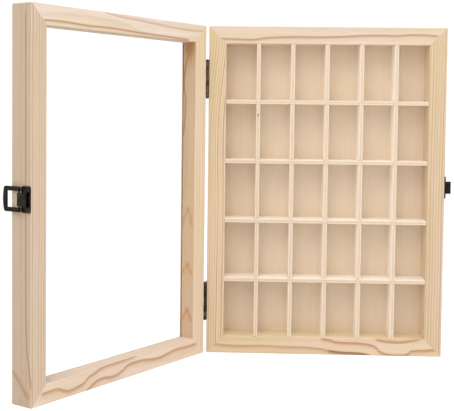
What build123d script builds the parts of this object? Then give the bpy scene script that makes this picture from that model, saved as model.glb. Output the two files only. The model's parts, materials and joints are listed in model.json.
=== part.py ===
from build123d import *
import os
from math import atan, cos, degrees, radians, sin

os.makedirs("parts", exist_ok=True)

# Case and door, mm. X runs along the case's width, Y from its front to its back, Z up.
# The origin is the centre of the case's underside.
frame_width = 260.0
frame_height = 362.0
rail_width = 19.0
case_depth = 35.0
door_depth = 25.0
corner_round = 1.4
edge_round = 1.0
mating_gap = 0.6
door_open_angle = 123.0

# Back panel in its rabbet, held by brads
panel_thickness = 4.0
panel_rabbet = 6.0
panel_clearance = 0.3
brad_radius = 0.6
brad_length = 14.0
brad_head_radius = 1.1
brad_head_height = 0.6
brad_clearance = 0.05
brad_column_step = 3

# Compartments: thin boards, half-lapped, their ends in stopped housings that the front hides
shelf_count = 4
divider_count = 5
board_thickness = 4.2
board_edge_round = 0.45
housing_depth = 4.0
housing_stop = 4.0
housing_clearance = 0.05
lap_clearance = 0.05

# Clear pane in its groove. Outside the groove the opening widens in a broad bevel.
pane_thickness = 2.0
pane_inset = 16.6
pane_side_clearance = 0.1
pane_edge_clearance = 0.5
groove_depth = 4.0
lip_land = 0.8
bevel_width = 8.2

# Butt hinges on the left side faces
hinge_height_low = 58.0
hinge_length = 42.0
hinge_leaf_width = 16.0
hinge_leaf_thickness = 0.9
hinge_leaf_round = 2.0
hinge_axis_height = 1.75
hinge_barrel_radius = 1.65
hinge_knuckles = 5
hinge_knuckle_gap = 0.2
hinge_cut_back = 1.95
hinge_pin_radius = 0.75
hinge_pin_head_radius = 1.3
hinge_pin_head_height = 0.5
pin_clearance = 0.05
hinge_screw_spread = 14.0
hinge_screw_outer = 11.3
hinge_screw_middle = 7.6

# Small countersunk wood screws
screw_head_radius = 2.0
screw_head_height = 0.9
screw_shank_radius = 1.1
screw_length = 10.0
screw_point_length = 2.5
screw_point_radius = 0.2
screw_slot_length = 2.4
screw_slot_width = 0.5
screw_slot_depth = 0.45
screw_clearance = 0.05

# Draw latch: sizes along the side face are taken from the edge at the mating gap
latch_height = 187.7
latch_edge_inset = 0.3
latch_plate_width = 11.0
latch_plate_height = 24.0
latch_plate_thickness = 1.2
latch_plate_round = 2.0
latch_screw_inset = 6.5
latch_screw_spread = 9.6
latch_dimple_inset = 1.7
latch_dimple_radius = 0.8
ear_inner = 6.15
ear_thickness = 0.8
ear_half_width = 2.2
ear_rise = 4.6
lever_pin_inset = 4.5
lever_pin_rise = 3.2
lever_pin_radius = 0.8
lever_pin_proud = 0.1
lever_half_height = 5.9
lever_sheet = 0.9
lever_curl_radius = 1.5
lever_flange_thickness = 0.8
lever_flange_radius = 1.5
lever_length = 6.8
lever_tip_length = 1.5
lever_tip_rise = 0.3
lever_tip_round = 1.0
bail_pin_inset = 12.4
bail_pin_rise = 2.95
bail_pin_radius = 0.75
bail_pin_recess = 0.2
bail_inner_half = 7.35
bail_arm_width = 4.15
bail_thickness = 2.0
bail_window_reach = 15.0
bail_corner_reach = 18.4
bail_crown_reach = 20.0
bail_eye_radius = 1.5
bail_heel_chamfer = 2.5
bail_corner_round = 2.2
bail_edge_round = 0.6

# Keeper on the case's right side
keeper_plate_width = 12.7
keeper_plate_height = 24.5
keeper_plate_thickness = 1.45
keeper_screw_inset = 7.5
hook_half_height = 6.75
hook_post_thickness = 1.4
hook_lip_rise = 4.3
hook_top_rise = 7.2
hook_curl_radius = 2.0
hook_edge_round = 0.5

# What follows from those sizes
opening_width = frame_width - 2 * rail_width
opening_height = frame_height - 2 * rail_width
board_depth = case_depth - panel_thickness
lap_depth = board_depth / 2
column_pitch = (opening_width + board_thickness) / (divider_count + 1)
row_pitch = (opening_height + board_thickness) / (shelf_count + 1)
divider_places = [(number - (divider_count + 1) / 2) * column_pitch for number in range(1, divider_count + 1)]
shelf_places = [rail_width - board_thickness / 2 + number * row_pitch for number in range(1, shelf_count + 1)]
hinge_heights = {"lower": hinge_height_low, "upper": frame_height - hinge_height_low}
hinge_screw_points = [
    (hinge_screw_outer, hinge_screw_spread),
    (hinge_screw_middle, 0),
    (hinge_screw_outer, -hinge_screw_spread),
]
latch_screw_points = [(latch_screw_inset, latch_screw_spread), (latch_screw_inset, -latch_screw_spread)]
keeper_screw_points = [(keeper_screw_inset, latch_screw_spread), (keeper_screw_inset, -latch_screw_spread)]
screw_cone_angle = 2 * degrees(atan((screw_head_radius - screw_shank_radius) / screw_head_height))
top_down = (Align.CENTER, Align.CENTER, Align.MAX)

# Planes. A front plane has X across the frame from its centre and Y up, a side plane has X away
# from the mating gap and its normal out of the wood.
upward = Vector(0, 0, 1)
swing = radians(door_open_angle)
along_door = Vector(cos(swing), -sin(swing), 0)
out_of_door = along_door.cross(upward)
hinge_axis = Vector(-frame_width / 2 - hinge_axis_height, -case_depth / 2 - mating_gap / 2, 0)
door_centre = hinge_axis + along_door * (frame_width / 2 + hinge_axis_height) + out_of_door * (mating_gap / 2)

case_front = Plane(origin=(0, -case_depth / 2, 0), x_dir=(1, 0, 0), z_dir=(0, -1, 0))
case_back = case_front.offset(-case_depth)
door_inner = Plane(origin=door_centre, x_dir=along_door, z_dir=out_of_door)

case_left_side = Plane(origin=(-frame_width / 2, -case_depth / 2, 0), x_dir=(0, 1, 0), z_dir=(-1, 0, 0))
case_right_side = Plane(origin=(frame_width / 2, -case_depth / 2, 0), x_dir=(0, 1, 0), z_dir=(1, 0, 0))
door_hinge_side = Plane(
    origin=door_inner.from_local_coords((-frame_width / 2, 0, 0)), x_dir=out_of_door, z_dir=along_door * -1
)
door_latch_side = Plane(
    origin=door_inner.from_local_coords((frame_width / 2, 0, 0)), x_dir=out_of_door, z_dir=along_door
)


def at_height(side, height):
    return Plane(origin=side.origin + upward * height, x_dir=side.x_dir, z_dir=side.z_dir)


def cross_section(side):
    # Horizontal plane through a side plane's origin: X away from the mating gap, Y out of the wood
    return Plane(origin=side.origin, x_dir=side.x_dir, z_dir=side.x_dir.cross(side.z_dir))


latch_face = at_height(door_latch_side, latch_height)
latch_section = cross_section(latch_face)
keeper_face = at_height(case_right_side, latch_height)
keeper_section = cross_section(keeper_face)


# Mitred frames
def rounded_ring(face, reach):
    # Rectangular ring with eased edges, standing on the frame's underside
    with BuildPart() as ring:
        with BuildSketch(face):
            with Locations((0, frame_height / 2)):
                RectangleRounded(frame_width, frame_height, corner_round)
                Rectangle(opening_width, opening_height, mode=Mode.SUBTRACT)
        extrude(amount=reach)
        ends = ring.faces().sort_by(Axis(face.origin, face.z_dir))
        for end in (ends[0], ends[-1]):
            fillet(end.outer_wire().edges(), edge_round)
        mating_end = ring.faces().filter_by(Plane(face.origin, z_dir=face.z_dir)).sort_by_distance(
            face.from_local_coords((0, 0, 0))
        )
        fillet(mating_end[0].inner_wires()[0].edges(), edge_round)
    return ring.part


def mitred_board(ring, face, side):
    # The ring's board on one side, given as a direction such as (-1, 0) for the left one
    across = (side[1], side[0])
    with BuildPart() as board:
        add(ring)
        for turn in (1, -1):
            end = (across[0] * turn, across[1] * turn)
            corner = (
                (side[0] + end[0]) * frame_width / 2,
                (side[1] + end[1] + 1) * frame_height / 2,
                0,
            )
            inward = face.x_dir * (side[0] - end[0]) + face.y_dir * (side[1] - end[1])
            split(bisect_by=Plane(origin=face.from_local_coords(corner), z_dir=inward), keep=Keep.TOP)
    return board.part


def screw_set(places, points, head_radius, head_height, shank_radius, length, point_length, slot):
    # Fasteners driven in from planes on the faces that their heads are flush with
    with BuildPart() as screws:
        for place in places:
            with Locations(place):
                with Locations(*points):
                    Cone(shank_radius, head_radius, head_height, align=top_down)
                with Locations(*[(x, y, -head_height) for x, y in points]):
                    Cylinder(shank_radius, length - head_height - point_length, align=top_down)
                with Locations(*[(x, y, point_length - length) for x, y in points]):
                    Cone(screw_point_radius, shank_radius, point_length, align=top_down)
                if slot:
                    with Locations(*points):
                        Box(screw_slot_length, screw_slot_width, screw_slot_depth, align=top_down,
                            mode=Mode.SUBTRACT)
                        Box(screw_slot_width, screw_slot_length, screw_slot_depth, align=top_down,
                            mode=Mode.SUBTRACT)
    return screws.part


def wood_screws(places, points):
    return screw_set(places, points, screw_head_radius, screw_head_height, screw_shank_radius,
                     screw_length, screw_point_length, True)


def pilot_holes(places, points):
    # Holes in the wood under a plate, for the shanks of its screws
    for place in places:
        with Locations(place):
            with Locations(*points):
                Cylinder(screw_shank_radius + screw_clearance, screw_length, align=top_down,
                         mode=Mode.SUBTRACT)


def screw_seats(place, points, thickness):
    # Countersunk holes through a plate whose outer face is the given plane
    with Locations(place):
        with Locations(*points):
            CounterSinkHole(
                screw_shank_radius + screw_clearance,
                screw_head_radius + screw_clearance,
                depth=2 * thickness,
                counter_sink_angle=screw_cone_angle,
            )


# Case frame: back rabbet for the panel, housings for the ends of the thin boards
with BuildPart() as case_ring:
    add(rounded_ring(case_front, -case_depth))
    with BuildSketch(case_back):
        with Locations((0, frame_height / 2)):
            Rectangle(opening_width + 2 * panel_rabbet, opening_height + 2 * panel_rabbet)
    extrude(amount=panel_thickness, mode=Mode.SUBTRACT)
    with BuildSketch(case_front.offset(-housing_stop)):
        with Locations(*[(0, height) for height in shelf_places]):
            Rectangle(opening_width + 2 * housing_depth, board_thickness + 2 * housing_clearance)
        with Locations(*[(place, frame_height / 2) for place in divider_places]):
            Rectangle(board_thickness + 2 * housing_clearance, opening_height + 2 * housing_depth)
    extrude(amount=housing_stop - board_depth, mode=Mode.SUBTRACT)

# Brads stand at the middle of each compartment's edge, half-way across the rabbet
brad_across = opening_width / 2 + panel_rabbet / 2
brad_rise = opening_height / 2 + panel_rabbet / 2
row_middles = [rail_width + (row_pitch - board_thickness) / 2 + row * row_pitch for row in range(shelf_count + 1)]
brad_columns = range(1, divider_count + 1, brad_column_step)
column_middles = [(column - divider_count / 2) * column_pitch for column in brad_columns]
brad_points = [(side * brad_across, height) for side in (-1, 1) for height in row_middles] + [
    (across, frame_height / 2 + side * brad_rise) for side in (-1, 1) for across in column_middles
]
brad_face = Plane(origin=case_back.origin, x_dir=(1, 0, 0), z_dir=(0, 1, 0))
brad_places = [(across, -height) for across, height in brad_points]

# The board hole reaches past the brad's length by the panel's clearance
board_sides = {
    "case_left_board": (-1, 0),
    "case_right_board": (1, 0),
    "case_top_board": (0, 1),
    "case_bottom_board": (0, -1),
}
pieces = {}
for name, side in board_sides.items():
    with BuildPart() as case_board:
        add(mitred_board(case_ring.part, case_front, side))
        with Locations(brad_face):
            with Locations(*brad_places):
                Cylinder(brad_radius + brad_clearance, brad_length + panel_clearance, align=top_down,
                         mode=Mode.SUBTRACT)
        if name == "case_left_board":
            pilot_holes([at_height(case_left_side, height) for height in hinge_heights.values()],
                        hinge_screw_points)
        if name == "case_right_board":
            pilot_holes([keeper_face], keeper_screw_points)
    pieces[name] = case_board

# Back panel, flush with the back of the case
with BuildPart() as back_panel:
    with BuildSketch(case_back):
        with Locations((0, frame_height / 2)):
            Rectangle(
                opening_width + 2 * (panel_rabbet - panel_clearance),
                opening_height + 2 * (panel_rabbet - panel_clearance),
            )
    extrude(amount=panel_thickness)
    with Locations(brad_face):
        with Locations(*brad_places):
            Cylinder(brad_head_radius + brad_clearance, brad_head_height, align=top_down,
                     mode=Mode.SUBTRACT)
            Cylinder(brad_radius + brad_clearance, 2 * panel_thickness, align=top_down,
                     mode=Mode.SUBTRACT)
pieces["back_panel"] = back_panel

with BuildPart() as back_panel_brads:
    with Locations(brad_face):
        with Locations(*brad_places):
            Cylinder(brad_head_radius, brad_head_height, align=top_down)
            Cylinder(brad_radius, brad_length, align=top_down)
pieces["back_panel_brads"] = back_panel_brads

# The boards' tongues start a little behind the housings' front ends
tongue_face = case_front.offset(-housing_stop - housing_clearance)
tongue_depth = board_depth - housing_stop - housing_clearance

# Shelves: cut from behind to half their depth where a divider crosses
for number, height in enumerate(shelf_places, start=1):
    with BuildPart() as shelf:
        with BuildSketch(case_front):
            with Locations((0, height)):
                Rectangle(opening_width, board_thickness)
        extrude(amount=-board_depth)
        fillet(shelf.edges().filter_by(Axis.X).group_by(Axis.Y)[0], board_edge_round)
        with BuildSketch(tongue_face):
            with Locations((0, height)):
                Rectangle(opening_width + 2 * housing_depth, board_thickness)
        extrude(amount=-tongue_depth)
        with BuildSketch(case_front.offset(lap_clearance - lap_depth)):
            with Locations(*[(place, height) for place in divider_places]):
                Rectangle(board_thickness + 2 * lap_clearance, 2 * board_thickness)
        extrude(amount=-board_depth, mode=Mode.SUBTRACT)
    pieces[f"shelf_{number}"] = shelf

# Dividers: cut from the front to half their depth where a shelf crosses
for number, place in enumerate(divider_places, start=1):
    with BuildPart() as divider:
        with BuildSketch(case_front):
            with Locations((place, frame_height / 2)):
                Rectangle(board_thickness, opening_height)
        extrude(amount=-board_depth)
        fillet(divider.edges().filter_by(Axis.Z).group_by(Axis.Y)[0], board_edge_round)
        with BuildSketch(tongue_face):
            with Locations((place, frame_height / 2)):
                Rectangle(board_thickness, opening_height + 2 * housing_depth)
        extrude(amount=-tongue_depth)
        with BuildSketch(case_front):
            with Locations(*[(place, height) for height in shelf_places]):
                Rectangle(2 * board_thickness, board_thickness + 2 * lap_clearance)
        extrude(amount=-lap_depth - lap_clearance, mode=Mode.SUBTRACT)
    pieces[f"divider_{number}"] = divider

# Door frame: groove for the pane and a bevel around the outer face of the opening
bevel_start = pane_inset + pane_thickness + pane_side_clearance + lip_land
with BuildPart() as door_ring:
    add(rounded_ring(door_inner, door_depth))
    with BuildSketch(door_inner.offset(pane_inset - pane_side_clearance)):
        with Locations((0, frame_height / 2)):
            Rectangle(opening_width + 2 * groove_depth, opening_height + 2 * groove_depth)
    extrude(amount=pane_thickness + 2 * pane_side_clearance, mode=Mode.SUBTRACT)
    with BuildSketch(door_inner.offset(bevel_start)):
        with Locations((0, frame_height / 2)):
            Rectangle(opening_width, opening_height)
    with BuildSketch(door_inner.offset(door_depth)):
        with Locations((0, frame_height / 2)):
            Rectangle(opening_width + 2 * bevel_width, opening_height + 2 * bevel_width)
    loft(mode=Mode.SUBTRACT)

with BuildPart() as door_hinge_stile:
    add(mitred_board(door_ring.part, door_inner, (-1, 0)))
    pilot_holes([at_height(door_hinge_side, height) for height in hinge_heights.values()], hinge_screw_points)
pieces["door_hinge_stile"] = door_hinge_stile

with BuildPart() as door_latch_stile:
    add(mitred_board(door_ring.part, door_inner, (1, 0)))
    pilot_holes([latch_face], latch_screw_points)
pieces["door_latch_stile"] = door_latch_stile

with BuildPart() as door_top_rail:
    add(mitred_board(door_ring.part, door_inner, (0, 1)))
pieces["door_top_rail"] = door_top_rail

with BuildPart() as door_bottom_rail:
    add(mitred_board(door_ring.part, door_inner, (0, -1)))
pieces["door_bottom_rail"] = door_bottom_rail

with BuildPart() as door_pane:
    with BuildSketch(door_inner.offset(pane_inset)):
        with Locations((0, frame_height / 2)):
            Rectangle(
                opening_width + 2 * (groove_depth - pane_edge_clearance),
                opening_height + 2 * (groove_depth - pane_edge_clearance),
            )
    extrude(amount=pane_thickness)
pieces["door_pane"] = door_pane

# Hinges: the case leaf has the odd knuckles and carries the pin, the door leaf has the even ones
knuckle_pitch = (hinge_length + hinge_knuckle_gap) / hinge_knuckles
knuckle_length = knuckle_pitch - hinge_knuckle_gap
axis_inset = -mating_gap / 2
plate_start = hinge_cut_back + axis_inset


def hinge_leaf(side, height, first_knuckle):
    leaf_face = at_height(side, height)
    section = cross_section(leaf_face)
    with BuildPart() as leaf:
        with BuildSketch(section):
            with Locations((plate_start, 0)):
                Rectangle(hinge_leaf_width - plate_start, hinge_leaf_thickness, align=Align.MIN)
        extrude(amount=hinge_length / 2, both=True)
        outward = Axis(leaf_face.origin, leaf_face.x_dir)
        corners = leaf.edges().filter_by(Axis(leaf_face.origin, leaf_face.z_dir)).group_by(outward)[-1]
        fillet(corners, hinge_leaf_round)
        for knuckle in range(first_knuckle, hinge_knuckles, 2):
            start = knuckle * knuckle_pitch - hinge_length / 2
            with BuildSketch(section.offset(start)):
                with Locations((axis_inset, hinge_axis_height)):
                    Circle(hinge_barrel_radius)
                with BuildLine():
                    Polyline(
                        (axis_inset, hinge_axis_height - hinge_barrel_radius),
                        (plate_start, 0),
                        (plate_start, hinge_leaf_thickness),
                        (axis_inset, hinge_axis_height),
                        close=True,
                    )
                make_face()
            extrude(amount=knuckle_length)
        with BuildSketch(section.offset(-hinge_length)):
            with Locations((axis_inset, hinge_axis_height)):
                Circle(hinge_pin_radius + pin_clearance)
        extrude(amount=2 * hinge_length, mode=Mode.SUBTRACT)
        screw_seats(leaf_face.offset(hinge_leaf_thickness), hinge_screw_points, hinge_leaf_thickness)
    return leaf


def hinge_pin(height):
    section = cross_section(at_height(case_left_side, height))
    with BuildPart() as pin:
        with BuildSketch(section):
            with Locations((axis_inset, hinge_axis_height)):
                Circle(hinge_pin_radius)
        extrude(amount=hinge_length / 2, both=True)
        for end in (hinge_length / 2, -hinge_length / 2 - hinge_pin_head_height):
            with BuildSketch(section.offset(end)):
                with Locations((axis_inset, hinge_axis_height)):
                    Circle(hinge_pin_head_radius)
            extrude(amount=hinge_pin_head_height)
        rims = pin.edges().filter_by(GeomType.CIRCLE).group_by(Axis.Z)
        fillet(rims[0] + rims[-1], hinge_pin_head_height / 2)
    return pin


for name, height in hinge_heights.items():
    pieces[f"{name}_hinge_case_leaf"] = hinge_leaf(case_left_side, height, 0)
    pieces[f"{name}_hinge_door_leaf"] = hinge_leaf(door_hinge_side, height, 1)
    pieces[f"{name}_hinge_pin"] = hinge_pin(height)

with BuildPart() as hinge_case_screws:
    add(wood_screws(
        [at_height(case_left_side, height).offset(hinge_leaf_thickness) for height in hinge_heights.values()],
        hinge_screw_points,
    ))
pieces["hinge_case_screws"] = hinge_case_screws

with BuildPart() as hinge_door_screws:
    add(wood_screws(
        [at_height(door_hinge_side, height).offset(hinge_leaf_thickness) for height in hinge_heights.values()],
        hinge_screw_points,
    ))
pieces["hinge_door_screws"] = hinge_door_screws

# Latch plate with two ears that carry the lever's pin
with BuildPart() as latch_base_plate:
    with BuildSketch(latch_face):
        with Locations((latch_edge_inset + latch_plate_width / 2, 0)):
            RectangleRounded(latch_plate_width, latch_plate_height, latch_plate_round)
        with Locations((latch_dimple_inset, 0)):
            Circle(latch_dimple_radius, mode=Mode.SUBTRACT)
    extrude(amount=latch_plate_thickness)
    for start in (ear_inner, -ear_inner - ear_thickness):
        with BuildSketch(latch_section.offset(start)):
            with Locations((lever_pin_inset, 0)):
                Rectangle(2 * ear_half_width, ear_rise - ear_half_width, align=(Align.CENTER, Align.MIN))
            with Locations((lever_pin_inset, ear_rise - ear_half_width)):
                Circle(ear_half_width)
            with Locations((lever_pin_inset, lever_pin_rise)):
                Circle(lever_pin_radius, mode=Mode.SUBTRACT)
        extrude(amount=ear_thickness)
    screw_seats(latch_face.offset(latch_plate_thickness), latch_screw_points, latch_plate_thickness)
pieces["latch_base_plate"] = latch_base_plate

with BuildPart() as latch_screws:
    add(wood_screws([latch_face.offset(latch_plate_thickness)], latch_screw_points))
pieces["latch_screws"] = latch_screws

with BuildPart() as latch_lever_pin:
    with BuildSketch(latch_section):
        with Locations((lever_pin_inset, lever_pin_rise)):
            Circle(lever_pin_radius)
    extrude(amount=ear_inner + ear_thickness + lever_pin_proud, both=True)
pieces["latch_lever_pin"] = latch_lever_pin

# Lever: a sheet curled round its pin, with side flanges bored for the loop's pin and a raised tip
sheet_top = lever_pin_rise + lever_curl_radius
sheet_under = sheet_top - lever_sheet
tip_start = lever_pin_inset + lever_length
with BuildPart() as latch_lever:
    with BuildSketch(latch_section):
        with Locations((lever_pin_inset, lever_pin_rise)):
            Circle(lever_curl_radius)
        with BuildLine():
            Polyline(
                (lever_pin_inset, sheet_under),
                (tip_start, sheet_under),
                (tip_start + lever_tip_length, sheet_under + lever_tip_rise),
                (tip_start + lever_tip_length, sheet_top + lever_tip_rise),
                (tip_start, sheet_top),
                (lever_pin_inset, sheet_top),
                close=True,
            )
        make_face()
    extrude(amount=lever_half_height, both=True)
    along = Axis(latch_face.origin, latch_face.x_dir)
    tip_edges = latch_lever.faces().sort_by(along)[-1].edges().filter_by(Axis.Z, reverse=True)
    fillet(tip_edges, lever_tip_round)
    for start in (lever_half_height - lever_flange_thickness, -lever_half_height):
        with BuildSketch(latch_section.offset(start)):
            with Locations((bail_pin_inset, bail_pin_rise)):
                Circle(lever_flange_radius)
            with Locations((bail_pin_inset, bail_pin_rise)):
                Rectangle(2 * lever_flange_radius, sheet_top - lever_sheet / 2 - bail_pin_rise,
                          align=(Align.CENTER, Align.MIN))
        extrude(amount=lever_flange_thickness)
    with BuildSketch(latch_section.offset(-latch_plate_height)):
        with Locations((lever_pin_inset, lever_pin_rise)):
            Circle(lever_pin_radius + pin_clearance)
        with Locations((bail_pin_inset, bail_pin_rise)):
            Circle(bail_pin_radius + pin_clearance)
    extrude(amount=2 * latch_plate_height, mode=Mode.SUBTRACT)
pieces["latch_lever"] = latch_lever

bail_outer_half = bail_inner_half + bail_arm_width
with BuildPart() as latch_bail_pin:
    with BuildSketch(latch_section):
        with Locations((bail_pin_inset, bail_pin_rise)):
            Circle(bail_pin_radius)
    extrude(amount=bail_outer_half - bail_pin_recess, both=True)
pieces["latch_bail_pin"] = latch_bail_pin

# Loop: two arms with eyes for the pin, joined by a bar that bulges outward in the middle
with BuildPart() as latch_bail:
    with BuildSketch(latch_face.offset(bail_pin_rise - bail_thickness / 2)) as bail_plan:
        with BuildLine():
            left_arm = Line((bail_pin_inset, -bail_outer_half),
                            (bail_pin_inset + bail_corner_reach, -bail_outer_half))
            crown = ThreePointArc(
                left_arm @ 1,
                (bail_pin_inset + bail_crown_reach, 0),
                (bail_pin_inset + bail_corner_reach, bail_outer_half),
            )
            Polyline(crown @ 1, (bail_pin_inset, bail_outer_half), left_arm @ 0)
        make_face()
        with Locations((bail_pin_inset - bail_eye_radius, 0)):
            Rectangle(bail_window_reach + bail_eye_radius, 2 * bail_inner_half,
                      align=(Align.MIN, Align.CENTER), mode=Mode.SUBTRACT)
    extrude(amount=bail_thickness)
    uprights = latch_bail.edges().filter_by(Axis(latch_face.origin, latch_face.z_dir))
    outer_uprights = uprights.sort_by(along)[-2:]
    fillet(outer_uprights, bail_corner_round)
    heel_uprights = uprights.sort_by(along).group_by(along)[0].sort_by(Axis.Z)
    chamfer([heel_uprights[0], heel_uprights[-1]], bail_heel_chamfer)
    faces_of_loop = latch_bail.faces().filter_by(Axis(latch_face.origin, latch_face.z_dir))
    fillet(faces_of_loop.edges(), bail_edge_round)
    with BuildSketch(latch_section.offset(-bail_outer_half + bail_pin_recess)):
        with Locations((bail_pin_inset, bail_pin_rise)):
            Circle(bail_eye_radius)
    extrude(amount=bail_arm_width - bail_pin_recess)
    with BuildSketch(latch_section.offset(bail_inner_half)):
        with Locations((bail_pin_inset, bail_pin_rise)):
            Circle(bail_eye_radius)
    extrude(amount=bail_arm_width - bail_pin_recess)
    with BuildSketch(latch_section.offset(-latch_plate_height)):
        with Locations((bail_pin_inset, bail_pin_rise)):
            Circle(bail_pin_radius + pin_clearance)
    extrude(amount=2 * latch_plate_height, mode=Mode.SUBTRACT)
pieces["latch_bail"] = latch_bail

# Keeper: plate with a hook that opens away from the door and takes the loop's bar
with BuildPart() as keeper_plate:
    with BuildSketch(keeper_face):
        with Locations((latch_edge_inset + keeper_plate_width / 2, 0)):
            RectangleRounded(keeper_plate_width, keeper_plate_height, latch_plate_round)
    extrude(amount=keeper_plate_thickness)
    with BuildSketch(keeper_section):
        with Locations((latch_edge_inset + hook_curl_radius, hook_top_rise - hook_curl_radius)):
            Circle(hook_curl_radius)
        with Locations((latch_edge_inset, 0)):
            Rectangle(2 * hook_curl_radius, hook_lip_rise, align=Align.MIN, mode=Mode.SUBTRACT)
            Rectangle(hook_post_thickness, hook_top_rise - hook_curl_radius, align=Align.MIN)
    extrude(amount=hook_half_height, both=True)
    top_edges = keeper_plate.edges().filter_by(GeomType.CIRCLE).filter_by(
        lambda edge: abs(edge.radius - hook_curl_radius) < hook_edge_round / 2
    )
    fillet(top_edges, hook_edge_round)
    screw_seats(keeper_face.offset(keeper_plate_thickness), keeper_screw_points, keeper_plate_thickness)
pieces["keeper_plate"] = keeper_plate

with BuildPart() as keeper_screws:
    add(wood_screws([keeper_face.offset(keeper_plate_thickness)], keeper_screw_points))
pieces["keeper_screws"] = keeper_screws

for name, piece in pieces.items():
    piece.part.label = name
    export_step(piece.part, f"parts/{name}.step")
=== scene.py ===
import json
import math

import bpy
from mathutils import Euler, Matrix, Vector


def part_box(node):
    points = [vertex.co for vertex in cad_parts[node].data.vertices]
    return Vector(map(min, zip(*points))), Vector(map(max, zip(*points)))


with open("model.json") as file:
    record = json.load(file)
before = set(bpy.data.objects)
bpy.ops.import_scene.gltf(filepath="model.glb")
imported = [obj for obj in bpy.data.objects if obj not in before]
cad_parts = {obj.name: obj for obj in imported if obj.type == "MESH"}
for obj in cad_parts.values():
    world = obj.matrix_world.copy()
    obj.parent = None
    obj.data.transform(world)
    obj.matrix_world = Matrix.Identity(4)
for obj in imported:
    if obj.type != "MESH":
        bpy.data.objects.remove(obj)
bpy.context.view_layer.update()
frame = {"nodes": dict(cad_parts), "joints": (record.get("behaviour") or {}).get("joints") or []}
nodes = frame["nodes"]
scene = bpy.context.scene
mm = 0.001


def linear(hexColour):
    # sRGB hex, such as e6caa6, to the linear values that shaders use
    channels = [int(hexColour[start:start + 2], 16) / 255 for start in (0, 2, 4)]
    return [c / 12.92 if c <= 0.04045 else ((c + 0.055) / 1.055) ** 2.4 for c in channels] + [1.0]


def addNode(tree, kind, *inputs, **settings):
    # Inputs go to the node's live sockets in their order, or by name as one dictionary
    node = tree.nodes.new("ShaderNode" + kind)
    for name, value in settings.items():
        setattr(node, name, value)
    pairs = zip([socket for socket in node.inputs if socket.enabled], inputs)
    if inputs and isinstance(inputs[0], dict):
        pairs = [(node.inputs[name], value) for name, value in inputs[0].items()]
    for socket, value in pairs:
        if isinstance(value, bpy.types.NodeSocket):
            tree.links.new(value, socket)
        else:
            socket.default_value = value
    return next((socket for socket in node.outputs if socket.enabled), None)


def newMaterial(name):
    material = bpy.data.materials.new(name)
    material.use_nodes = True
    material.node_tree.nodes.clear()
    return material, material.node_tree


def dress(name, material):
    slots = nodes[name].data.materials
    slots.clear()
    slots.append(material)


print("camera")
view = {
    "place": (-73.19, -1081.72, 265.33),  # mm
    "pitch": -2.828,  # degrees, as roll and yaw
    "roll": -0.666,
    "yaw": 1.947,
    "lens": 76.55,  # mm, as the sensor's width
    "sensor": 36,
    "shiftX": 0.0005,
    "shiftY": -0.0956,
}


def addCamera(settings):
    camera = bpy.data.cameras.new("photoView")
    camera.lens = settings["lens"]
    camera.sensor_width = settings["sensor"]
    camera.shift_x = settings["shiftX"]
    camera.shift_y = settings["shiftY"]
    holder = bpy.data.objects.new("photoView", camera)
    scene.collection.objects.link(holder)
    lookForward = Euler((math.radians(90), 0, 0)).to_matrix()
    roll = Euler((0, math.radians(settings["roll"]), 0)).to_matrix()
    pitch = Euler((math.radians(settings["pitch"]), 0, 0)).to_matrix()
    yaw = Euler((0, 0, math.radians(settings["yaw"]))).to_matrix()
    holder.matrix_world = (yaw @ pitch @ roll @ lookForward).to_4x4()
    holder.location = Vector(settings["place"]) * mm
    scene.camera = holder


addCamera(view)

# The frames' sizes in mm, read from the left board's outer side and width and from the top board's top
leftLow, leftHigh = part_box("case_left_board")
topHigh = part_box("case_top_board")[1]
caseFront = leftLow.y
frameWidth = round(-2 * leftLow.x / mm, 2)
frameHeight = round(topHigh.z / mm, 2)
railWidth = round((leftHigh.x - leftLow.x) / mm, 2)

# Each frame has its own space in mm: X across from its middle, Y back from the face where the two
# frames meet, Z up. The door's space is the case's, swung about the hinge, which stands as far from
# the door's middle as from the case's.
hinge = next(joint for joint in frame["joints"] if joint["name"] == "door_hinge")
hingeX, hingeY = hinge["pos_m"][:2]
swing = math.radians(hinge["range_deg"][0])
doorMiddle = Vector((hingeX, hingeY)) + Vector((math.cos(swing), math.sin(swing))) * -hingeX
doorMiddle += Vector((math.sin(swing), -math.cos(swing))) * (caseFront - hingeY)
caseSpace = {"origin": (0, caseFront, 0), "turn": 0}
doorSpace = {"origin": (doorMiddle.x, doorMiddle.y, 0), "turn": swing}
plainSpace = {"origin": (0, 0, 0), "turn": 0}


def spaceAxes(tree, space):
    # Object coordinates turned into a frame's own, as one vector and as its X, Y and Z
    local = addNode(tree, "TexCoord").node.outputs["Object"]
    turn = (0, 0, space["turn"])
    local = addNode(tree, "Mapping", local, space["origin"], turn, (mm, mm, mm), vector_type="TEXTURE")
    return local, dict(zip("XYZ", addNode(tree, "SeparateXYZ", local).node.outputs))


def distanceFrom(tree, value, middle):
    # How far a value lies from the middle, to either side
    off = addNode(tree, "Math", value, middle, operation="SUBTRACT")
    return addNode(tree, "Math", off, operation="ABSOLUTE")


def maskWhere(tree, *steps, strength=1.0):
    # Strength where every step is past its end, 0 before any start. A step is a value, a start and an end
    mask = strength
    for value, start, end in steps:
        passed = addNode(tree, "MapRange", value, start, end, interpolation_type="SMOOTHSTEP")
        mask = addNode(tree, "Math", passed, mask, operation="MULTIPLY")
    return mask


def mottle(tree, local, sizes, seed=0.0, detail=2.0, roughness=0.5):
    # Cloudy patches, as long in mm along each axis as sizes say
    place = addNode(tree, "Mapping", local, (seed,) * 3, (0, 0, 0), [1 / size for size in sizes])
    return addNode(tree, "TexNoise", place, 1.0, detail, roughness)


def grainSizes(upright, across, along):
    # Sizes in mm along X, Y and Z of a pattern that follows the grain
    return (across, across, along) if upright else (along, across, across)


def paint(tree, colour, *layers):
    # Each layer is a mask and the hex colour that it lays over what is there
    for mask, over in layers:
        colour = addNode(tree, "Mix", mask, colour, linear(over), data_type="RGBA")
    return colour


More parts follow.
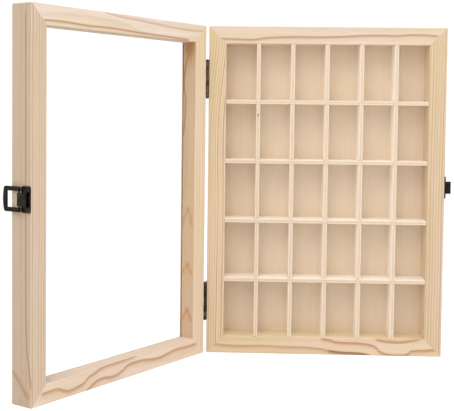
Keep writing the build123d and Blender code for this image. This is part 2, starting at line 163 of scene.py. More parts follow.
def shadeBy(tree, colour, pattern, darkest, lightest):
    # Darker and lighter with a noise pattern, which keeps mostly between 0.3 and 0.7
    tone = addNode(tree, "MapRange", pattern, 0.3, 0.7, darkest, lightest)
    return addNode(tree, "Mix", 1.0, colour, tone, data_type="RGBA", blend_type="MULTIPLY")


print("pine boards")
pine = {
    "wanderLength": 130,  # mm of board to a slow bend of the trunk
    "phaseWander": 0.9,  # rings, by the quick wander
    "patch": (25, 160),  # mm across and along the grain, as fibre and streaks
    "ringTone": 0.35,  # how much yellow and pink differ from ring to ring
    "lateStart": 0.35,  # parts of a ring: where it starts to darken, is darkest and starts to end
    "latePeak": 0.86,
    "lateEnd": 0.9,
    "lateVaries": 0.7,  # how much the darkening differs from ring to ring
    "lateFades": (-0.5, 0.05),  # slow wander over which it comes in
    "fibre": (0.67, 22),
    "fibreShade": (0.945, 1.04),
    "streaks": (1.3, 110),
    "streakShade": (0.955, 1.03),
    "faceFade": (0.3, 1.0),  # mm behind the face, over which a side's painted light and shade comes in
    "edgeFade": (0.9, 0.2),  # mm before a side, the same
    "outerFainter": 0.8,  # how much of the rings the outer side loses
    "lineColour": "ae8058",
    "lineFade": (1, 5),  # mm outside and inside its ends, over which a drawn line comes in
    "washWidth": 2.6,  # times its line's soft side
    "washStrength": 0.35,  # times its line's strength
    "washColour": "d0a078",
    "glueLine": (0.5, 0.1),  # mm from the mitre
    "glueStrength": 0.1,
    "glueColour": "9c7550",
    "roughness": 0.72,
    "lateRoughness": -0.12,  # added where a ring is dark
    "fibreHeight": 0.5,
    "lateHeight": -0.5,
    "bump": 0.25,
    "bumpDepth": 0.15 * mm,
}
knotShape = {"uneven": 0.5, "edge": (1.0, 0.35)}  # the edge is in parts of the knot's radii


def frameEdges(tree, axes):
    # How far in a place lies from the frame's outer sides, and from its top or bottom end
    halfWidth, halfHeight = frameWidth / 2, frameHeight / 2
    across = distanceFrom(tree, axes["X"], 0)
    upwards = distanceFrom(tree, axes["Z"], halfHeight)
    fromSide = addNode(tree, "Math", halfWidth, across, operation="SUBTRACT")
    fromEnd = addNode(tree, "Math", halfHeight, upwards, operation="SUBTRACT")
    return fromSide, fromEnd


def ringPattern(tree, local, axes, board):
    # Rings about the trunk's middle, which wanders slowly and quickly along the board and may lean at an end
    along, across = (axes[letter] for letter in ("ZX" if board["upright"] else "XZ"))
    seed = board["seed"]
    stretched = addNode(tree, "Math", along, 1 / pine["wanderLength"], operation="MULTIPLY")
    place = addNode(tree, "CombineXYZ", stretched, seed, 0.0)
    slow = addNode(tree, "TexNoise", place, 1.0, 1.0)
    slow = addNode(tree, "Math", slow, 0.5, operation="SUBTRACT")
    quick = mottle(tree, local, board["ripple"], seed, detail=1.0)
    quick = addNode(tree, "Math", quick, 0.5, operation="SUBTRACT")
    trunkAcross, trunkDepth = board["trunk"]
    sideways = addNode(tree, "Math", across, trunkAcross, operation="SUBTRACT")
    sideways = addNode(tree, "Math", slow, board["wander"], sideways, operation="MULTIPLY_ADD")
    leanFrom, leanTo, leanShift = board["lean"]
    lean = maskWhere(tree, (along, leanFrom, leanTo), strength=leanShift)
    sideways = addNode(tree, "Math", sideways, lean, operation="ADD")
    deep = addNode(tree, "Math", axes["Y"], trunkDepth, operation="SUBTRACT")
    deep = addNode(tree, "Math", quick, board["wander"], deep, operation="MULTIPLY_ADD")
    fromTrunk = addNode(tree, "CombineXYZ", sideways, deep, 0.0)
    radius = addNode(tree, "VectorMath", fromTrunk, operation="LENGTH")
    phase = addNode(tree, "Math", radius, 1 / board["ringSpacing"], operation="MULTIPLY")
    phase = addNode(tree, "Math", quick, pine["phaseWander"], phase, operation="MULTIPLY_ADD")
    return slow, phase


def grainLine(tree, axes, line):
    # The dark end of one ring: it comes in softly from one side and stops sharply on the other, and flip
    # swaps them. Its path is of places along the board and values across it, which stay inside its span
    along, across = (axes[letter] for letter in line["axes"])
    start, length = (-frameWidth / 2, frameWidth) if line["axes"][0] == "X" else (0, frameHeight)
    low, high = line["span"]
    part = addNode(tree, "Math", along, 1 / length, -start / length, operation="MULTIPLY_ADD")
    curve = addNode(tree, "FloatCurve", 1.0, part)
    mapping = curve.node.mapping
    places = [((at - start) / length, (value - low) / (high - low)) for at, value in line["path"]]
    points = mapping.curves[0].points
    points[0].location = places[0]
    points[1].location = places[-1]
    for place in places[1:-1]:
        points.new(*place)
    mapping.update()
    middle = addNode(tree, "Math", curve, high - low, low, operation="MULTIPLY_ADD")
    # Rings run into the board at a slant, so a line is crossed quickly on the sides
    depth = distanceFrom(tree, axes["Y"], 0)
    middle = addNode(tree, "Math", depth, -line.get("slant", 0), middle, operation="MULTIPLY_ADD")
    offset = addNode(tree, "Math", across, middle, operation="SUBTRACT")
    side = -1 if line.get("flip") else 1
    first, last = line["path"][0][0], line["path"][-1][0]
    outside, inside = pine["lineFade"]
    steps = [
        (offset, -line["soft"] * side, 0),
        (offset, line["sharp"] * side, 0),
        (along, first - outside, first + inside),
        (along, last + outside, last - inside),
    ]
    if "only" in line:
        letter, fadeFrom, fadeTo = line["only"]
        steps.append((axes[letter], fadeFrom, fadeTo))
    return maskWhere(tree, *steps, strength=line["strength"])


def paintKnots(tree, colour, local, patch, knots):
    # Soft-edged brown ovals, made a little uneven by the patches
    for knot in knots:
        toKnot = addNode(tree, "VectorMath", local, knot["at"], operation="SUBTRACT")
        toKnot = addNode(tree, "VectorMath", toKnot, knot["radii"], operation="DIVIDE")
        reach = addNode(tree, "VectorMath", toKnot, operation="LENGTH")
        uneven = knotShape["uneven"]
        uneven = addNode(tree, "Math", patch, uneven, -uneven / 2, operation="MULTIPLY_ADD")
        reach = addNode(tree, "Math", reach, uneven, operation="ADD")
        mask = maskWhere(tree, (reach, *knotShape["edge"]), strength=knot["strength"])
        colour = paint(tree, colour, (mask, knot["colour"]))
    return colour


def ringTones(tree, slow, phase, patch, board):
    # Yellow and pink stretches, from ring to ring and slowly along the board
    ringNumber = addNode(tree, "Math", phase, operation="FLOOR")
    ringNumber = addNode(tree, "Math", ringNumber, board["seed"], operation="ADD")
    ringTone = addNode(tree, "TexWhiteNoise", ringNumber, noise_dimensions="1D")
    tone = addNode(tree, "Math", ringTone, pine["ringTone"], -pine["ringTone"] / 2, operation="MULTIPLY_ADD")
    tone = addNode(tree, "Math", tone, maskWhere(tree, (patch, 0.3, 0.7)), operation="ADD")
    colour = addNode(tree, "Mix", tone, linear(board["yellow"]), linear(board["pink"]), data_type="RGBA")
    # Each ring darkens towards its end, some more than others, and fades away in places
    within = addNode(tree, "Math", phase, operation="FRACT")
    darkens = (within, pine["lateStart"], pine["latePeak"])
    ends = (within, 1.0, pine["lateEnd"])
    varies = pine["lateVaries"]
    late = addNode(tree, "Math", ringTone, varies, 1 - varies, operation="MULTIPLY_ADD")
    late = maskWhere(tree, (slow, *pine["lateFades"]), darkens, ends, strength=late)
    return colour, addNode(tree, "Math", late, board["ringContrast"], operation="MULTIPLY")


def paintSideLightAndShade(tree, colour, late, axes, inwards, board):
    # Behind the face, the outer side and the side of the opening get painted light and shade: the case's
    # opening sides are painted paler, the door's outer and opening sides darker
    behindFace = (distanceFrom(tree, axes["Y"], 0), *pine["faceFade"])
    fadeFrom, fadeTo = pine["edgeFade"]
    if "outerSideShade" in board:
        strength, paintedSideColour = board["outerSideShade"]
        outerShade = maskWhere(tree, (inwards, fadeFrom, fadeTo), behindFace, strength=strength)
        colour = paint(tree, colour, (outerShade, paintedSideColour))
        # Rings lie flatter on the outer side and show less
        fainter = addNode(tree, "Math", outerShade, -pine["outerFainter"], 1.0, operation="MULTIPLY_ADD")
        late = addNode(tree, "Math", late, fainter, operation="MULTIPLY")
    if "openingSideLightAndShade" in board:
        strength, paintedSideColour = board["openingSideLightAndShade"]
        pastEdge = (inwards, railWidth - fadeFrom, railWidth - fadeTo)
        openingLightAndShade = maskWhere(tree, pastEdge, behindFace, strength=strength)
        colour = paint(tree, colour, (openingLightAndShade, paintedSideColour))
    return colour, late


def paintLines(tree, colour, late, axes, lines):
    # A wide warm wash runs up to each drawn line
    for line in lines:
        wash = {
            **line,
            "soft": pine["washWidth"] * line["soft"],
            "strength": pine["washStrength"] * line["strength"],
        }
        washMask = grainLine(tree, axes, wash)
        lineMask = grainLine(tree, axes, line)
        lineColour = line.get("colour", pine["lineColour"])
        colour = paint(tree, colour, (washMask, pine["washColour"]), (lineMask, lineColour))
        late = addNode(tree, "Math", late, lineMask, operation="MAXIMUM")
    return colour, late


def makePine(name, space, board):
    # Planed, unfinished pine: pale earlywood, a darker line at each ring's end, a dry soft sheen
    material, tree = newMaterial(name)
    local, axes = spaceAxes(tree, space)
    upright = board["upright"]
    seed = board["seed"]
    slow, phase = ringPattern(tree, local, axes, board)
    patch = mottle(tree, local, grainSizes(upright, *pine["patch"]), seed * 3)
    colour, late = ringTones(tree, slow, phase, patch, board)
    fromSide, fromEnd = frameEdges(tree, axes)
    inwards = addNode(tree, "Math", fromSide, fromEnd, operation="MINIMUM")
    colour, late = paintSideLightAndShade(tree, colour, late, axes, inwards, board)
    colour = paint(tree, colour, (late, board["lateColour"]))
    colour, late = paintLines(tree, colour, late, axes, board.get("lines", []))
    # Fibre: fine pale and dark dashes along the board, drawn 0.7 mm wide so that they show
    fibre = mottle(tree, local, grainSizes(upright, *pine["fibre"]), seed, detail=3.0, roughness=0.6)
    colour = shadeBy(tree, colour, fibre, *pine["fibreShade"])
    streaks = mottle(tree, local, grainSizes(upright, *pine["streaks"]), seed * 5, roughness=0.6)
    colour = shadeBy(tree, colour, streaks, *pine["streakShade"])
    colour = paintKnots(tree, colour, local, patch, board.get("knots", []))
    # A fine glue line where the boards meet at the mitres
    fromMitre = distanceFrom(tree, fromSide, fromEnd)
    glue = maskWhere(tree, (fromMitre, *pine["glueLine"]), strength=pine["glueStrength"])
    colour = paint(tree, colour, (glue, pine["glueColour"]))
    height = addNode(tree, "Math", fibre, pine["fibreHeight"], operation="MULTIPLY")
    height = addNode(tree, "Math", late, pine["lateHeight"], height, operation="MULTIPLY_ADD")
    bump = addNode(tree, "Bump", {"Height": height, "Strength": pine["bump"], "Distance": pine["bumpDepth"]})
    surface = addNode(tree, "BsdfPrincipled", {
        "Base Color": colour,
        "Roughness": addNode(
            tree, "Math", late, pine["lateRoughness"], pine["roughness"], operation="MULTIPLY_ADD"),
        "IOR": 1.45,
        "Normal": bump,
    })
    addNode(tree, "OutputMaterial", surface)
    return material


# The straight boards show close, even rings, and the figured ones broad bands with a few drawn lines
plainPine = {"yellow": "d0b895", "pink": "d7bba6", "lateColour": "b0875e", "lean": (0, 1, 0)}
straight = {
    **plainPine, "upright": True, "wander": 3.0, "ripple": (60, 60, 240),
    "ringSpacing": 2.8, "ringContrast": 0.95,
}
figured = {
    **plainPine, "upright": False, "wander": 7.0, "ripple": (110, 30, 30),
    "ringSpacing": 6.5, "ringContrast": 0.2,
}
drawn = {"axes": "XZ", "soft": 4.4, "sharp": 1.4, "slant": 1.5}
alongCaseTop = {**drawn, "span": (343, 362)}
alongCaseBottom = {**drawn, "span": (-6, 26)}
alongDoorTop = {**drawn, "span": (340, 368)}
alongDoorBottom = {**drawn, "span": (-8, 26)}

# Lines that run up one side of a door stile only: the opening side of one, the free edge of the other
openingX = railWidth - frameWidth / 2
freeEdgeX = frameWidth / 2
sideFrom, sideTo = 0.8, 0.2  # mm before that side, over which they come in
upHingeStile = {"axes": "ZY", "span": (-26, 6), "only": ("X", openingX - sideFrom, openingX - sideTo)}
upLatchStile = {"axes": "ZY", "span": (-40, 6), "only": ("X", freeEdgeX - sideFrom, freeEdgeX - sideTo)}
arch = {
    "middle": -9,  # mm behind the face, where its peak lies
    "arms": (6, -8),  # mm from there to each arm's foot
    "halfway": 0.75,  # parts of that reach, halfway up and just below the peak
    "nearPeak": 0.3,
    "tip": 5,  # mm above the peak
    "soft": 4.5,
    "sharp": 2.2,
    "colour": "b48250",
}


def makeArch(peak, drop, strength):
    # Rings that pass a knot cross the door's opening side as an arch: two arms that meet at its peak
    middle = arch["middle"]
    lines = []
    for reach in arch["arms"]:
        path = [
            (peak - drop, middle + reach),
            (peak - drop / 2, middle + reach * arch["halfway"]),
            (peak - 2, middle + reach * arch["nearPeak"]),
            (peak, middle),
            (peak + arch["tip"], middle),
        ]
        lines.append({
            **upHingeStile, "soft": arch["soft"], "sharp": arch["sharp"], "strength": strength,
            "flip": reach < 0, "colour": arch["colour"], "path": path,
        })
    return lines


# The case's opening sides are painted paler than its faces, as painted light
caseBoards = {
    "case_left_board": {
        **straight, "trunk": (-72, 20), "seed": 1.3, "lean": (240, 362, -9),
        "ringSpacing": 2.6, "ringContrast": 1.0,
        "yellow": "d6c19a", "pink": "ddc4aa", "lateColour": "b68b56",
        "openingSideLightAndShade": (0.5, "f0dcc0"),
    },
    "case_right_board": {
        **straight, "trunk": (60, 26), "seed": 4.1,
        "yellow": "d0b996", "pink": "d7bca7", "lateColour": "ae8658",
        "openingSideLightAndShade": (0.5, "f0dcc0"),
    },
    "case_top_board": {
        **figured, "trunk": (330, 90), "seed": 7.9, "yellow": "d5c1a1", "pink": "dbc6b4",
        "openingSideLightAndShade": (0.5, "f0dcc0"),
        "lines": [
            {
                **alongCaseTop, "strength": 0.8, "soft": 3.2, "sharp": 1.2, "colour": "ab8358",
                "path": [
                    (-126, 349.2), (-100, 348.2), (-84, 347.8), (-70, 349.6), (-50, 350.9),
                    (0, 351.3), (54, 353.6), (72, 353.3), (92, 354.4), (122, 353.2),
                ],
            },
        ],
    },
    "case_bottom_board": {
        **figured, "trunk": (40, 80), "seed": 2.6, "yellow": "d9c39d", "pink": "dfc6ad",
        "openingSideLightAndShade": (0.7, "f0dcb6"),
        "lines": [
            {
                **alongCaseBottom, "strength": 0.8,
                "path": [
                    (-4, 18.5), (8, 16.4), (16, 14.2), (38, 13.6), (51, 12.2), (59, 9), (64, 4.2),
                    (74, 1.4), (88, 1.2), (94, 3), (98, 6), (112, 7), (128, 8.4),
                ],
            },
            {
                **alongCaseBottom, "strength": 0.75, "flip": True,
                "path": [(56, 19.4), (64, 15.8), (74, 14.7), (84, 14.4), (94, 15.8), (110, 19.4)],
            },
            {
                **alongCaseBottom, "strength": 0.6, "soft": 4.5,
                "path": [
                    (-126, 11), (-112, 9), (-92, 8.4), (-66, 8.9), (-40, 8.2), (-20, 8),
                    (-4, 6.6), (8, 4.6), (22, 3.2), (38, 2.7), (50, 0.8), (60, -3),
                ],
            },
            {
                **alongCaseBottom, "strength": 0.9, "soft": 4.0, "colour": "84694f",
                "path": [(4, 4.9), (12, 3.9), (22, 2.9), (38, 2.4), (50, 0.5), (60, -3.3)],
            },
        ],
    },
}
# The door's outer sides and the sides of its opening are painted darker than its faces, as painted shade
doorBoards = {
    "door_hinge_stile": {
        **straight, "trunk": (-170, -14), "seed": 5.2, "ringContrast": 0.45,
        "yellow": "dec8a6", "pink": "e2cbb6",
        "outerSideShade": (0.5, "bfab96"), "openingSideLightAndShade": (0.7, "c5a27e"),
        "lines": [
            {
                **upHingeStile, "soft": 1.6, "sharp": 2.4, "strength": 0.8, "colour": "94683f",
                "path": [(240, -17), (262, -14.5), (280, -14), (298, -16), (312, -15), (330, -10)],
            },
            *makeArch(49, 14, 0.6),
            *makeArch(99, 12, 0.55),
            *makeArch(160, 20, 0.4),
        ],
        "knots": [
            {"at": (openingX, -9, 336), "radii": (3, 12, 30), "strength": 0.5, "colour": "c0905c"},
            {"at": (openingX, -9, 338), "radii": (3, 8, 15), "strength": 0.65, "colour": "a8704a"},
            {"at": (openingX, -9, 37), "radii": (3, 9, 14), "strength": 0.3, "colour": "d6a868"},
            {"at": (openingX, -9, 89), "radii": (3, 7, 12), "strength": 0.25, "colour": "d6a86c"},
        ],
    },
    "door_latch_stile": {
        **straight, "trunk": (150, -20), "seed": 9.4, "ringContrast": 0.85,
        "yellow": "d0bb9c", "pink": "d3bba9",
        "outerSideShade": (0.8, "b29e87"), "openingSideLightAndShade": (0.4, "c69e76"),
        "lines": [
            {
                **upLatchStile, "span": (-26, 6), "soft": 1.3, "sharp": 1.2, "strength": 0.88,
                "colour": "8f734b",
                "path": [
                    (8, 3), (20, -0.3), (28, -1.3), (41, -3.3), (55, -5.4), (120, -6.6),
                    (300, -7), (356, -7.4),
                ],
            },
            {
                **upLatchStile, "soft": 8.5, "sharp": 2.4, "strength": 0.68, "colour": "a07e58",
                "flip": True,
                "path": [(6, -4), (14, -9.2), (18, -13), (23, -17.3), (28, -22), (34, -32)],
            },
        ],
    },
    "door_top_rail": {
        **figured, "trunk": (300, -90), "seed": 3.7, "yellow": "dccbae", "pink": "e4cfc2",
        "lines": [
            {
                **alongDoorTop, "strength": 0.85, "soft": 2.0,
                "path": [
                    (-100, 344.6), (-55, 345.5), (-17, 346), (25, 347.3), (60, 347), (90, 347.9),
                    (118, 347.3),
                ],
            },
            {
                **alongDoorTop, "strength": 0.4, "soft": 2.4, "flip": True,
                "path": [
                    (-126, 355.2), (-95, 354.6), (-70, 355), (-48, 356.2), (-16, 358), (12, 359),
                    (40, 363),
                ],
            },
        ],
    },
    "door_bottom_rail": {
        **figured, "trunk": (60, -80), "seed": 6.8, "yellow": "dec9a9", "pink": "e5cebe",
        "lines": [
            {
                **alongDoorBottom, "strength": 0.72,
                "path": [
                    (-16, 20.6), (12, 19), (34, 18.6), (46, 15.4), (56, 12.8), (62, 8.8),
                    (71, 6.8), (80, 5.8), (88, 7.6), (97, 10.9), (106, 11), (119, 10.6),
                ],
            },
            {
                **alongDoorBottom, "strength": 0.72,
                "path": [
                    (-118, 13.2), (-98, 12.9), (-80, 13.5), (-66, 12), (-51, 10.4), (-38, 11.4),
                    (-22, 13.4), (-4, 13.2), (7, 9), (20, 6.2), (36, 7.8), (46, 6), (56, 1.6),
                    (66, -4),
                ],
            },
        ],
    },
}
for name, board in caseBoards.items():
    dress(name, makePine("planed pine " + name, caseSpace, board))
for name, board in doorBoards.items():
    dress(name, makePine("planed pine " + name, doorSpace, board))

print("shelves and dividers")
thinBoard = {
    "pale": "fdf3e4",
    "warm": "fdf2e7",
    "patch": (5, 170),  # mm across and along the grain, as fibre
    "fibre": (0.63, 18),
    "fibreShade": (0.94, 1.04),
    "frontFade": (1.2, 0.4),  # mm behind the front edge
    # Painted shade on the front edge, and darker painted shade in its middle
    "frontEdgeShadeStrength": 0.6,
    "frontEdgeShadeColour": "d9c7ad",
    "coreShadeFade": (1.6, 0.8),  # mm from the board's middle
    "coreShadeStrength": 0.48,
    "coreShadeColour": "c39c74",
    "lapHalf": 2.15,  # mm from a crossing board's middle to its side
    "lapFade": (0.5, 0.15),
    "lapStrength": 0.3,
    "lapColour": "a88868",
    "roughness": 0.78,
    "bump": 0.2,
    "bumpDepth": 0.15 * mm,
    "shelfSeed": 11.3,
    "dividerSeed": 21.7,
}


def makeThinBoard(name, upright, middle, crossings, seed, knots=()):
    # Thin sawn and sanded pine: even and pale, with painted shade on the front edge, darkest in its middle,
    # so that its two corners read as painted highlights
    material, tree = newMaterial(name)
    local, axes = spaceAxes(tree, caseSpace)
    patch = mottle(tree, local, grainSizes(upright, *thinBoard["patch"]), seed)
    pale, warm = linear(thinBoard["pale"]), linear(thinBoard["warm"])
    colour = addNode(tree, "Mix", patch, pale, warm, data_type="RGBA")
    # Drawn 0.6 mm wide so that it shows
    fibre = mottle(tree, local, grainSizes(upright, *thinBoard["fibre"]), seed, detail=3.0, roughness=0.6)
    colour = shadeBy(tree, colour, fibre, *thinBoard["fibreShade"])
    along, across = (axes[letter] for letter in ("ZX" if upright else "XZ"))
    offMiddle = distanceFrom(tree, across, middle)
    # Painted shade: the front edge darker than the sides and darkest in its middle, leaving painted
    # highlights along its corners
    front = maskWhere(tree, (axes["Y"], *thinBoard["frontFade"]))
    coreShade = maskWhere(tree, (offMiddle, *thinBoard["coreShadeFade"]), strength=front)
    rubbed = addNode(tree, "Math", front, thinBoard["frontEdgeShadeStrength"], operation="MULTIPLY")
    coreShade = addNode(tree, "Math", coreShade, thinBoard["coreShadeStrength"], operation="MULTIPLY")
    colour = paint(
        tree, colour, (rubbed, thinBoard["frontEdgeShadeColour"]), (coreShade, thinBoard["coreShadeColour"]))
    # Shadow lines where the other boards cross
    for crossing in crossings:
        fromLap = distanceFrom(tree, distanceFrom(tree, along, crossing), thinBoard["lapHalf"])
        lap = maskWhere(tree, (fromLap, *thinBoard["lapFade"]), strength=thinBoard["lapStrength"])
        colour = paint(tree, colour, (lap, thinBoard["lapColour"]))
    colour = paintKnots(tree, colour, local, patch, knots)
    bump = addNode(tree, "Bump", {
        "Height": fibre, "Strength": thinBoard["bump"], "Distance": thinBoard["bumpDepth"],
    })
    surface = addNode(tree, "BsdfPrincipled", {
        "Base Color": colour, "Roughness": thinBoard["roughness"], "IOR": 1.45, "Normal": bump,
    })
    addNode(tree, "OutputMaterial", surface)
    return material


def middleOf(name, axis):
    low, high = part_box(name)
    return (low[axis] + high[axis]) / 2 / mm


shelfHeights = {name: middleOf(name, 2) for name in sorted(nodes) if name.startswith("shelf_")}
dividerPlaces = {name: middleOf(name, 0) for name in sorted(nodes) if name.startswith("divider_")}
# Small knots in the front edges, as heights in mm up the divider
pinKnots = {
    "divider_1": [{
        "at": (dividerPlaces["divider_1"], 0, 265), "radii": (1.5, 2, 2.2),
        "strength": 0.9, "colour": "8a6440",
    }],
    "divider_2": [{
        "at": (dividerPlaces["divider_2"], 0, 241), "radii": (0.8, 2, 5),
        "strength": 0.5, "colour": "b08a62",
    }],
}
for number, (name, height) in enumerate(shelfHeights.items()):
    dress(name, makeThinBoard(
        "sanded pine " + name, False, height, dividerPlaces.values(), thinBoard["shelfSeed"] + number))
for number, (name, place) in enumerate(dividerPlaces.items()):
    dress(name, makeThinBoard(
        "sanded pine " + name, True, place, shelfHeights.values(), thinBoard["dividerSeed"] + number,
        pinKnots.get(name, [])))

print("back panel")
plywood = {
    "yellow": "e8d6bc",
    "pink": "e9d6c2",
    "patch": (40, 90),  # mm across and along the grain, as figure
    "figure": (3, 90),
    "figureShade": (0.98, 1.02),
    "roughness": 0.75,
    "bump": 0.2,
    "bumpDepth": 0.1 * mm,
}


def makePlywood():
    # Sanded veneer sheet: even and pale, with a very faint upright figure
    material, tree = newMaterial("sanded plywood")
    local, _ = spaceAxes(tree, caseSpace)
    patch = mottle(tree, local, grainSizes(True, *plywood["patch"]), 3.1)
    figure = mottle(tree, local, grainSizes(True, *plywood["figure"]), 8.2, detail=3.0, roughness=0.55)
    yellow, pink = linear(plywood["yellow"]), linear(plywood["pink"])
    colour = addNode(tree, "Mix", patch, yellow, pink, data_type="RGBA")
    colour = shadeBy(tree, colour, figure, *plywood["figureShade"])
    bump = addNode(tree, "Bump", {
        "Height": figure, "Strength": plywood["bump"], "Distance": plywood["bumpDepth"],
    })
    surface = addNode(tree, "BsdfPrincipled", {
        "Base Color": colour, "Roughness": plywood["roughness"], "IOR": 1.45, "Normal": bump,
    })
    addNode(tree, "OutputMaterial", surface)
    return material


dress("back_panel", makePlywood())

print("hinges, latch and keeper")
bronzeFinishes = {
    "sheet": {
        "name": "antique bronze plated steel",
        "roughness": 0.3, "plate": "1c1714", "rubbed": "42291b", "rubbing": 0.8,
    },
    "pins": {
        "name": "antique bronze plated pins",
        "roughness": 0.24, "plate": "1f1a17", "rubbed": "3c2c22", "rubbing": 0.5,
    },
    "hinges": {
        "name": "antique bronze plated hinges",
        "roughness": 0.32, "plate": "2e2620", "rubbed": "6c543c", "rubbing": 0.85,
    },
    "lever": {
        "name": "antique bronze plated lever",
        "roughness": 0.3, "plate": "201d17", "rubbed": "322d22", "rubbing": 0.9,
    },
    "wire": {
        "name": "antique bronze plated wire",
        "roughness": 0.26, "plate": "141311", "rubbed": "2b1c13", "rubbing": 0.7,
    },
}
bronzeTexture = {
    "cloud": 9,  # mm, as grit
    "cloudEdge": (0.42, 0.66),
    "grit": 0.5,
    "gritRoughness": 0.12,
    "bump": 0.2,
    "bumpDepth": 0.05 * mm,
}


def makeBronze(finish):
    # Steel plated in antique bronze: nearly black and satin, warming to brown where it is handled.
    # The plating's grit is drawn 0.5 mm wide so that it shows
    material, tree = newMaterial(finish["name"])
    local, _ = spaceAxes(tree, plainSpace)
    cloud = mottle(tree, local, (bronzeTexture["cloud"],) * 3, 4.0, detail=1.0)
    grit = mottle(tree, local, (bronzeTexture["grit"],) * 3, roughness=0.6)
    rub = maskWhere(tree, (cloud, *bronzeTexture["cloudEdge"]), strength=finish["rubbing"])
    bump = addNode(tree, "Bump", {
        "Height": grit, "Strength": bronzeTexture["bump"], "Distance": bronzeTexture["bumpDepth"],
    })
    surface = addNode(tree, "BsdfPrincipled", {
        "Base Color": paint(tree, linear(finish["plate"]), (rub, finish["rubbed"])),
        "Metallic": 0.85,
        "Roughness": addNode(
            tree, "Math", grit, bronzeTexture["gritRoughness"], finish["roughness"],
            operation="MULTIPLY_ADD"),
        "Normal": bump,
    })
    addNode(tree, "OutputMaterial", surface)
    return material


def bronzeKind(name):
    # Which of the finishes a piece of the hardware has
    if name.endswith(("_pin", "_screws")):
        return "pins"
    if "_hinge_" in name:
        return "hinges"
    return {"latch_lever": "lever", "latch_bail": "wire"}.get(name, "sheet")


bronzeMaterials = {kind: makeBronze(finish) for kind, finish in bronzeFinishes.items()}
for name in nodes:
    isHinge = "hinge_" in name and not name.startswith("door_")
    if isHinge or name.startswith(("latch_", "keeper_")):
        dress(name, bronzeMaterials[bronzeKind(name)])

print("brads")
steel = {"marks": 0.33, "dull": "a8a8a6", "bright": "c4c4c2", "roughness": 0.3, "marksRoughness": 0.2}


def makeSteel():
    # Bright drawn steel wire, a little dulled. The drawing marks are 0.3 mm wide so that they show
    material, tree = newMaterial("bright steel wire")
    local, _ = spaceAxes(tree, caseSpace)
    marks = mottle(tree, local, (steel["marks"],) * 3)
    dull, bright = linear(steel["dull"]), linear(steel["bright"])
    surface = addNode(tree, "BsdfPrincipled", {
        "Base Color": addNode(tree, "Mix", marks, dull, bright, data_type="RGBA"),
        "Metallic": 1.0,
        "Roughness": addNode(
            tree, "Math", marks, steel["marksRoughness"], steel["roughness"], operation="MULTIPLY_ADD"),
    })
    addNode(tree, "OutputMaterial", surface)
    return material


dress("back_panel_brads", makeSteel())

print("door pane")
pane = {"ior": 1.28, "smear": (60, 60, 25), "smearRoughness": 0.02, "shadow": (0.97, 0.97, 0.97, 1)}


def makeAcrylic():
    # Clear acrylic sheet: no colour of its own, faint wiping marks. Acrylic is 1.49, lowered until the
    # sheet mirrors its surroundings as little as the real one. It shades what is behind it very little
    material, tree = newMaterial("clear acrylic sheet")
    local, _ = spaceAxes(tree, doorSpace)
    smear = mottle(tree, local, pane["smear"], 2.0)
    sheet = addNode(tree, "BsdfPrincipled", {
        "Base Color": linear("ffffff"),
        "Transmission Weight": 1.0,
        "IOR": pane["ior"],
        "Roughness": addNode(tree, "Math", smear, pane["smearRoughness"], operation="MULTIPLY"),
    })
    clear = addNode(tree, "BsdfTransparent", pane["shadow"])
    forShadow = addNode(tree, "LightPath").node.outputs["Is Shadow Ray"]
    addNode(tree, "OutputMaterial", addNode(tree, "MixShader", forShadow, sheet, clear))
    return material


dress("door_pane", makeAcrylic())

print("floor, world and lights")
studio = {
    "floorSize": 8.0,  # metres, as the places and sizes of the lights
    "floorPale": 0.86,
    "floorShadow": 0.35,
    "floorGlow": 0.8,
    "worldLevel": 0.7,
    "worldSeen": 1.06,
    "lights": {
        "upperLeft": {"place": (-0.7, -1.2, 1.6), "size": 1.6, "watts": 10.3},
        "above": {"place": (0.0, -1.2, 1.9), "size": 1.4, "watts": 6},
        "right": {"place": (1.4, -0.7, 0.8), "size": 1.2, "watts": 8},
        "front": {"place": (-0.2, -2.4, 0.8), "size": 2.0, "watts": 3.4},
        "left": {"place": (-1.4, -0.9, 0.5), "size": 1.0, "watts": 2.7},
    },
    "target": (-0.05, 0, 0.18),
}


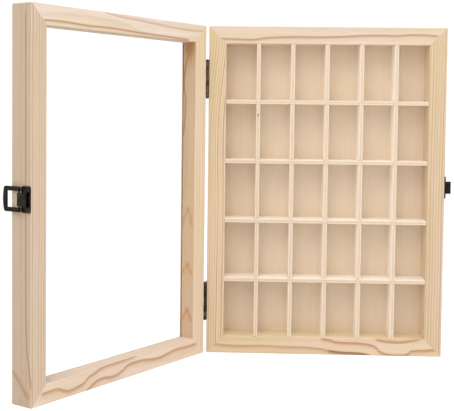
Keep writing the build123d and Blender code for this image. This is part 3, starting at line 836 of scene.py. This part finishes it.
def seenDirectly(tree):
    # 1 for what the lens, a reflection or the clear pane looks at
    rays = addNode(tree, "LightPath").node.outputs
    seen = addNode(tree, "Math", rays["Is Camera Ray"], rays["Is Glossy Ray"], operation="MAXIMUM")
    return addNode(tree, "Math", seen, rays["Is Transmission Ray"], operation="MAXIMUM")


def makeFloor(settings):
    bpy.ops.mesh.primitive_plane_add(size=settings["floorSize"])
    floor = bpy.context.object
    floor.name = "floor"
    material, tree = newMaterial("white paper floor")
    # Pale for the light that it sends on, and for the lens a fainter shadow on white
    seen = seenDirectly(tree)
    paper, shadow = settings["floorPale"], settings["floorShadow"]
    tone = addNode(tree, "Math", seen, shadow - paper, paper, operation="MULTIPLY_ADD")
    matt = addNode(tree, "BsdfDiffuse", addNode(tree, "CombineColor", tone, tone, tone))
    glow = addNode(tree, "Math", seen, settings["floorGlow"], operation="MULTIPLY")
    glow = addNode(tree, "Emission", {"Strength": glow})
    addNode(tree, "OutputMaterial", addNode(tree, "AddShader", matt, glow))
    floor.data.materials.append(material)


def makeWorld(settings):
    world = bpy.data.worlds.new("white surround")
    world.use_nodes = True
    scene.world = world
    tree = world.node_tree
    tree.nodes.clear()
    # White for the lens, also through the clear pane, and a plain even light for the rest
    level, seen = settings["worldLevel"], settings["worldSeen"]
    level = addNode(tree, "Math", seenDirectly(tree), seen - level, level, operation="MULTIPLY_ADD")
    surround = addNode(tree, "Background", {"Color": (1, 1, 1, 1), "Strength": level})
    addNode(tree, "OutputWorld", surround)


def addLight(name, settings, target):
    lamp = bpy.data.lights.new(name, "AREA")
    lamp.shape = "DISK"
    lamp.size = settings["size"]
    lamp.energy = settings["watts"]
    holder = bpy.data.objects.new(name, lamp)
    scene.collection.objects.link(holder)
    holder.location = settings["place"]
    holder.rotation_euler = (target - holder.location).to_track_quat("-Z", "Y").to_euler()


makeFloor(studio)
makeWorld(studio)
for lightName, lightSettings in studio["lights"].items():
    addLight(lightName, lightSettings, Vector(studio["target"]))

scene.view_settings.view_transform = "Standard"
